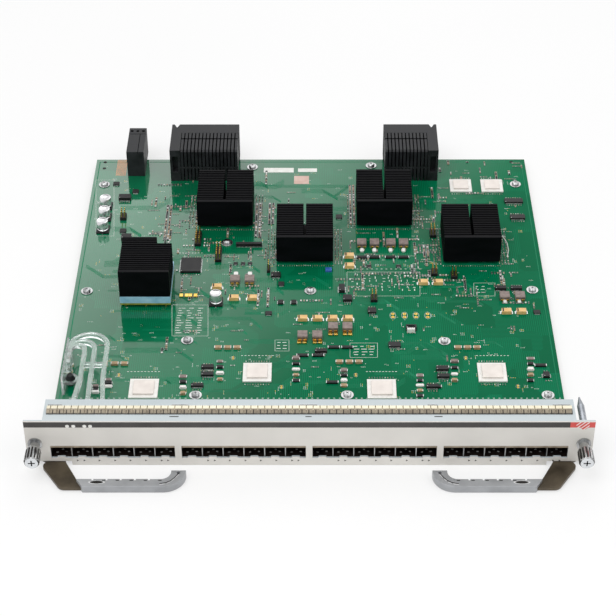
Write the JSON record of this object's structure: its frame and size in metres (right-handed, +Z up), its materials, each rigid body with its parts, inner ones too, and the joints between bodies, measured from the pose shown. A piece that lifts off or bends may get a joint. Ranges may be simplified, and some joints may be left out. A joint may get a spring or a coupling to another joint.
{
  "type": "switch line card",
  "caption": "Switch line card: faceplate with pluggable transceiver ports, ejectors and captive screws, circuit board with heatsinks, and rear backplane connectors.",
  "frame": {"origin": "on the rear face of the faceplate, at its bottom edge, midway between its ends", "axes": "+X to the right as seen from the front, +Y from the faceplate to the rear, +Z up"},
  "size_m": [0.3868, 0.412, 0.0419],
  "materials": {
    "faceplate_paint": "satin",
    "zinc_sheet": "satin",
    "spring_metal": "satin",
    "board_laminate": "gloss",
    "nickel": "polished",
    "dark_bronze": "satin",
    "grip_alloy": "satin",
    "black_anodised": "matt",
    "module_plate": "satin",
    "module_board": "satin",
    "chip_lid_metal": "satin",
    "black_plastic": "matt",
    "grey_plastic": "matt",
    "orange_case": "satin",
    "can_aluminium": "satin",
    "gold_contact": "polished",
    "clear_acrylic": "polished",
    "led_body": "satin"
  },
  "bodies": {
    "card": {"board_screws": "nickel", "capacitor_bases": "black_plastic", "capacitor_cans": "can_aluminium", "captive_ferrules": "nickel", "carrier_tray": "zinc_sheet", "chip_lids": "chip_lid_metal", "chip_substrates": "grey_plastic", "circuit_board": "board_laminate", "ejector_brackets": "zinc_sheet", "ejector_pivots": "zinc_sheet", "emi_gasket_strip": "spring_metal", "faceplate": "faceplate_paint", "guide_pin": "nickel", "header_pins": "gold_contact", "heatsink_1": "black_anodised", "heatsink_2": "black_anodised", "heatsink_3": "black_anodised", "heatsink_4": "black_anodised", "left_signal_housing": "grey_plastic", "left_signal_wafers": "grey_plastic", "light_pipe_rivet": "black_plastic", "light_pipes": "clear_acrylic", "pin_headers": "black_plastic", "port_cage_1": "zinc_sheet", "port_cage_2": "zinc_sheet", "port_cage_3": "zinc_sheet", "port_cage_4": "zinc_sheet", "port_connectors_1": "black_plastic", "port_connectors_2": "black_plastic", "port_connectors_3": "black_plastic", "port_connectors_4": "black_plastic", "port_dividers_1": "zinc_sheet", "port_dividers_2": "zinc_sheet", "port_dividers_3": "zinc_sheet", "port_dividers_4": "zinc_sheet", "port_gaskets": "spring_metal", "power_connector_blades": "gold_contact", "power_connector_housing": "grey_plastic", "power_inductors": "grey_plastic", "power_module_baseplate": "module_plate", "power_module_board": "module_board", "power_module_heatsink": "black_anodised", "power_module_pins": "gold_contact", "right_signal_housing": "grey_plastic", "right_signal_wafers": "grey_plastic", "small_chips": "black_plastic", "status_leds": "led_body", "switch_chips": "black_plastic", "tantalum_capacitors": "orange_case", "tray_standoffs": "zinc_sheet"},
    "left_ejector": {"left_ejector_arm": "dark_bronze", "left_ejector_grip": "grip_alloy"},
    "right_ejector": {"right_ejector_arm": "dark_bronze", "right_ejector_grip": "grip_alloy"},
    "left_screw_carriage": {"left_retaining_ring": "nickel", "left_screw_spring": "spring_metal"},
    "right_screw_carriage": {"right_retaining_ring": "nickel", "right_screw_spring": "spring_metal"},
    "left_screw": {"left_captive_screw": "nickel"},
    "right_screw": {"right_captive_screw": "nickel"}
  },
  "joints": [
    {"name": "left_ejector_hinge", "type": "hinge", "parent": "card", "child": "left_ejector", "pos_m": [-0.176, 0.0094, 0], "axis": [0, 0, 1], "range_deg": [-45, 0]},
    {"name": "left_screw_slide", "type": "slide", "parent": "card", "child": "left_screw_carriage", "axis": [0, 1, 0], "range_m": [0, 0.0066], "stiffness_N_per_m": 400, "springref_m": -0.002, "deforming": ["left_screw_spring"]},
    {"name": "left_screw_turn", "type": "hinge", "parent": "left_screw_carriage", "child": "left_screw", "pos_m": [-0.187, 0, 0.02], "axis": [0, 1, 0], "continuous": true},
    {"name": "right_ejector_hinge", "type": "hinge", "parent": "card", "child": "right_ejector", "pos_m": [0.176, 0.0094, 0], "axis": [0, 0, 1], "range_deg": [0, 45]},
    {"name": "right_screw_slide", "type": "slide", "parent": "card", "child": "right_screw_carriage", "axis": [0, 1, 0], "range_m": [0, 0.0066], "stiffness_N_per_m": 400, "springref_m": -0.002, "deforming": ["right_screw_spring"]},
    {"name": "right_screw_turn", "type": "hinge", "parent": "right_screw_carriage", "child": "right_screw", "pos_m": [0.187, 0, 0.02], "axis": [0, 1, 0], "continuous": true}
  ]
}
